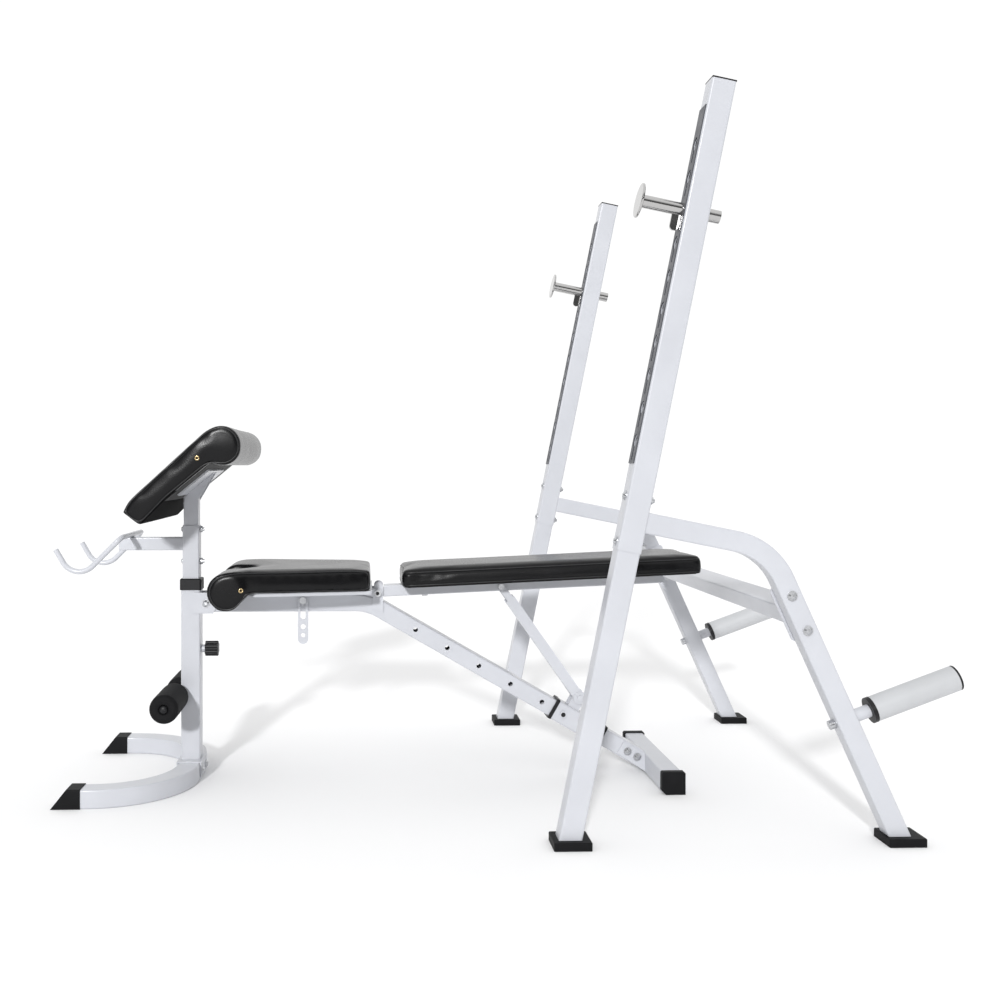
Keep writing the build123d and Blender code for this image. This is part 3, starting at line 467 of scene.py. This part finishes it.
def welt(name, piece, body, place, normal, radius=0.0016):
    """A bead all the way round a piece, where a plane cuts it."""
    line = inset_loop(section_loop(piece, place, normal), normal, 0.0008)
    return sunk_seam(name, piece, body, line, radius)


def end_welt(name, piece, body, place, normal, inset, radius=0.0016):
    """A bead on a pad's end face, a little inside the face's outline."""
    line = inset_loop(section_loop(piece, place, normal), normal, inset)
    line = [point - normal * 0.0006 for point in smooth_loop(dropped_on(piece, line, normal), 2)]
    return sunk_seam(name, piece, body, line, radius)


back_up = back_place(0, 0, 1) - HINGE
welt("back_top_seam", back, "backrest", back_place(0, 0, 0.0505), back_up)
welt("back_low_seam", back, "backrest", back_place(0, 0, 0.0225), back_up)
for side, sign in SIDES.items():
    outward = Vector((0, sign, 0))
    end_welt(f"preacher_end_seam_{side}", preacher, "preacher",
             Vector((0, sign * (PREACHER_HALF - 0.02), 0)), outward, 0.004)
    flank = Vector((0.165, sign, 0)).normalized()
    end_welt(f"seat_flank_seam_{side}", seat, "seat",
             Vector((LAYOUT_X - 0.66, sign * 0.162, 0)), flank, 0.004)


def socket(name, node, body, side, radius=0.0036):
    """Painted shade: a black disc on the outermost flat of a fastener on one side, standing in for the dark of
    its key socket.
    """
    points = [vertex.co for vertex in NODES[node].data.vertices]
    end = max(point.y * side for point in points)
    ring = [point for point in points if point.y * side > end - 0.0002]
    middle = sum(ring, Vector()) / len(ring)
    middle.y = side * end
    rim = [(radius + 0.0004, 0.0005), (radius + 0.0008, -0.0006)]
    piece = lathe(name, middle, Vector((0, side, 0)), [(0, 0.0002), (radius, 0.0002)] + rim, PLASTIC, 24)
    placed(piece, body)


def roller(side, sign):
    """A foam roller: a fine-grained sleeve with soft ends round a plastic hub."""
    low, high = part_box(f"foam_roller_{side}")
    axis_x, axis_z = (low.x + high.x) / 2, (low.z + high.z) / 2
    radius, length = (high.z - low.z) / 2, high.y - low.y
    hub = 0.0095
    profile = [(hub, 0.004), (hub + 0.004, 0.0012)]
    for k in range(9):
        turn = k / 8 * pi / 2
        profile.append((radius - 0.011 + 0.011 * sin(turn), 0.0115 - 0.011 * cos(turn)))
    count = 14
    for k in range(1, count):
        along = 0.0115 + (length / 2 - 0.0115) * k / count
        profile.append((radius - 0.0004 * sin(k * 1.7), along))
    profile += [(r, length - y) for r, y in reversed(profile)]
    turns = 64
    verts, faces = [], []
    for i, (r, y) in enumerate(profile):
        for k in range(turns):
            angle = 2 * pi * k / turns
            verts.append((axis_x + r * cos(angle), low.y + y, axis_z + r * sin(angle)))
    rows = len(profile)
    for i in range(rows):
        following = (i + 1) % rows
        for k in range(turns):
            nxt = (k + 1) % turns
            faces.append((i * turns + k, i * turns + nxt, following * turns + nxt, following * turns + k))
    mesh = bpy.data.meshes.new(f"roller_foam_{side}")
    mesh.from_pydata(verts, [], faces)
    work = bmesh.new()
    work.from_mesh(mesh)
    bmesh.ops.recalc_face_normals(work, faces=work.faces)
    work.to_mesh(mesh)
    work.free()
    piece = link(f"roller_foam_{side}", mesh, FOAM)
    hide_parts(f"foam_roller_{side}")
    placed(piece, f"roller_{side}")
    end = high.y - 0.002 if sign > 0 else low.y + 0.002
    plug = lathe(f"roller_plug_{side}", Vector((axis_x, end, axis_z)), Vector((0, sign, 0)),
                 [(0, 0.0035), (0.004, 0.0033), (0.007, 0.0022), (0.009, 0.0), (0.009, -0.004)], PLASTIC)
    placed(plug, f"roller_{side}")


def lathe(name, place, axis, profile, look, turns=40):
    """A turned piece: radius and height pairs spun about an axis through a place."""
    verts, faces = [], []
    frame_of = axis.to_track_quat("Z", "Y").to_matrix()
    for r, h in profile:
        for k in range(turns):
            angle = 2 * pi * k / turns
            verts.append(place + frame_of @ Vector((r * cos(angle), r * sin(angle), h)))
    for i in range(len(profile) - 1):
        for k in range(turns):
            nxt = (k + 1) % turns
            faces.append((i * turns + k, i * turns + nxt, (i + 1) * turns + nxt, (i + 1) * turns + k))
    mesh = bpy.data.meshes.new(name)
    mesh.from_pydata(verts, [], faces)
    work = bmesh.new()
    work.from_mesh(mesh)
    bmesh.ops.remove_doubles(work, verts=work.verts, dist=1e-5)
    bmesh.ops.holes_fill(work, edges=work.edges)
    bmesh.ops.recalc_face_normals(work, faces=work.faces)
    work.to_mesh(mesh)
    work.free()
    return link(name, mesh, look)


for side, sign in SIDES.items():
    roller(side, sign)

# Painted shade: black discs on the ends of the hinge pin and the slider stand in for their dark key holes.
for side, sign in SIDES.items():
    socket(f"hinge_pin_hole_shade_{side}", "hinge_pin", "bench", sign)
    socket(f"slider_hole_shade_{side}", "slider", "slider", sign, 0.0048)

# ------------------------------------------------------------------ eyelets
EYELET = [(0.0022, -0.001), (0.0024, 0.0012), (0.0034, 0.0022), (0.0046, 0.0018), (0.0056, 0.0004),
          (0.0056, -0.001)]


def eyelet(name, piece, body, place, look=BRASS):
    tree = BVHTree.FromObject(piece, bpy.context.evaluated_depsgraph_get())
    found, normal, _, _ = tree.find_nearest(Vector(place))
    ring = lathe(name, found, normal, EYELET, look, 28)
    placed(ring, body)
    vent = [(0, 0.0004), (0.0024, 0.0004)]
    heart = lathe(name + "_vent", found + normal * 0.0002, normal, vent, PLASTIC, 20)
    placed(heart, body)


for side, sign in SIDES.items():
    eyelet(f"preacher_eyelet_{side}", preacher, "preacher", (LAYOUT_X - 0.7525, sign * 0.235, 0.7357))
    eyelet(f"seat_eyelet_{side}", seat, "seat", (LAYOUT_X - 0.6675, sign * 0.178, 0.4487))
